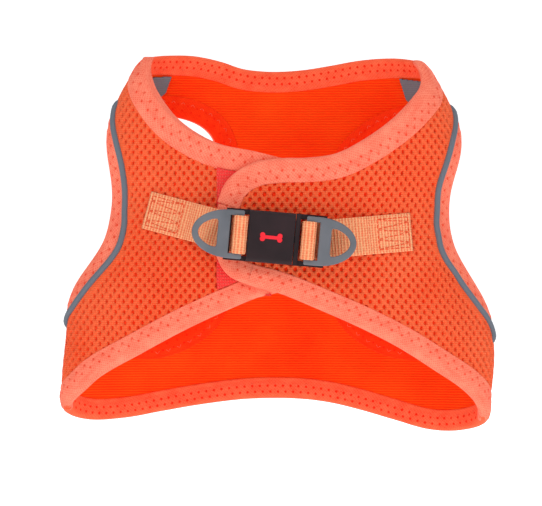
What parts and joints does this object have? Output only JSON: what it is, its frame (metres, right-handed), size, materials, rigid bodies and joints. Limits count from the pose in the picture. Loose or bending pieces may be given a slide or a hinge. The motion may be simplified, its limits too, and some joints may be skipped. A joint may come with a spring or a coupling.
{
  "type": "no pull dog harness",
  "caption": "Step-in air-mesh vest harness, closed over the back by overlapping flaps, webbing straps, a side-release buckle and D-rings.",
  "frame": {"origin": "the middle of the torso opening, halfway between the two sides at the height of the buckle", "axes": "+X towards the wearer's right-hand flap as seen from the buckle side, +Y from the buckle side through the body to the chest side, +Z towards the neck opening"},
  "size_m": [0.232, 0.0927, 0.1994],
  "materials": {
    "air_mesh": "open hexagonal air mesh, coral orange",
    "lining": "smooth knitted lining, bright orange",
    "binding": "folded knitted binding tape with a stitched edge",
    "piping": "grey reflective piping",
    "patch": "grey reflective patch cloth",
    "hook_loop": "pale coral hook and loop tape",
    "webbing": "flat woven webbing, pale orange",
    "ring_plastic": "smooth slate grey moulded plastic",
    "buckle_plastic": "black moulded acetal",
    "emblem": "red printed mark"
  },
  "bodies": {
    "vest": {"chest_mesh": "air_mesh", "chest_lining": "lining", "chest_neck_binding": "binding", "hem_binding": "binding", "left_flap_mesh": "air_mesh", "left_flap_lining": "lining", "left_neck_binding": "binding", "left_end_binding": "binding", "left_lower_binding": "binding", "right_flap_mesh": "air_mesh", "right_flap_lining": "lining", "right_neck_binding": "binding", "right_end_binding": "binding", "right_lower_binding": "binding", "left_leg_binding": "binding", "right_leg_binding": "binding", "left_reflective_piping": "piping", "right_reflective_piping": "piping", "left_shoulder_patch": "patch", "right_shoulder_patch": "patch", "hook_patch": "hook_loop", "loop_patch": "hook_loop", "left_strap_sewn_end": "webbing", "right_strap_sewn_end": "webbing", "left_strap": "webbing", "right_strap": "webbing", "left_web_loop": "webbing", "buckle_housing": "buckle_plastic", "buckle_emblem": "emblem"},
    "buckle_male": {"buckle_insert": "buckle_plastic", "right_web_loop": "webbing"},
    "upper_prong": {"upper_prong": "buckle_plastic"},
    "lower_prong": {"lower_prong": "buckle_plastic"},
    "left_ring": {"left_d_ring": "ring_plastic"},
    "right_ring": {"right_d_ring": "ring_plastic"}
  },
  "joints": [
    {"name": "buckle_release", "type": "slide", "parent": "vest", "child": "buckle_male", "axis": [0.9962, 0, -0.0872], "range_m": [0, 0.019], "deforming": ["right_strap"]},
    {"name": "upper_prong_squeeze", "type": "hinge", "parent": "buckle_male", "child": "upper_prong", "pos_m": [0.00709, -0.0467, 0.00984], "axis": [0, -1, 0], "range_deg": [0, 12.1]},
    {"name": "lower_prong_squeeze", "type": "hinge", "parent": "buckle_male", "child": "lower_prong", "pos_m": [0.00564, -0.0467, -0.00669], "axis": [0, -1, 0], "range_deg": [-12.1, 0]},
    {"name": "left_ring_swing", "type": "hinge", "parent": "vest", "child": "left_ring", "pos_m": [-0.02023, -0.0513, 0.0039], "axis": [0.0872, 0, 0.9962], "range_deg": [0, 110]},
    {"name": "right_ring_swing", "type": "hinge", "parent": "buckle_male", "child": "right_ring", "pos_m": [0.01543, -0.0513, 0.00078], "axis": [-0.0872, 0, -0.9962], "range_deg": [0, 110]}
  ],
  "couplings": [
    {"joint": "upper_prong_squeeze", "follows": "buckle_release", "rad_per_m": 11.023},
    {"joint": "lower_prong_squeeze", "follows": "buckle_release", "rad_per_m": -11.023}
  ]
}
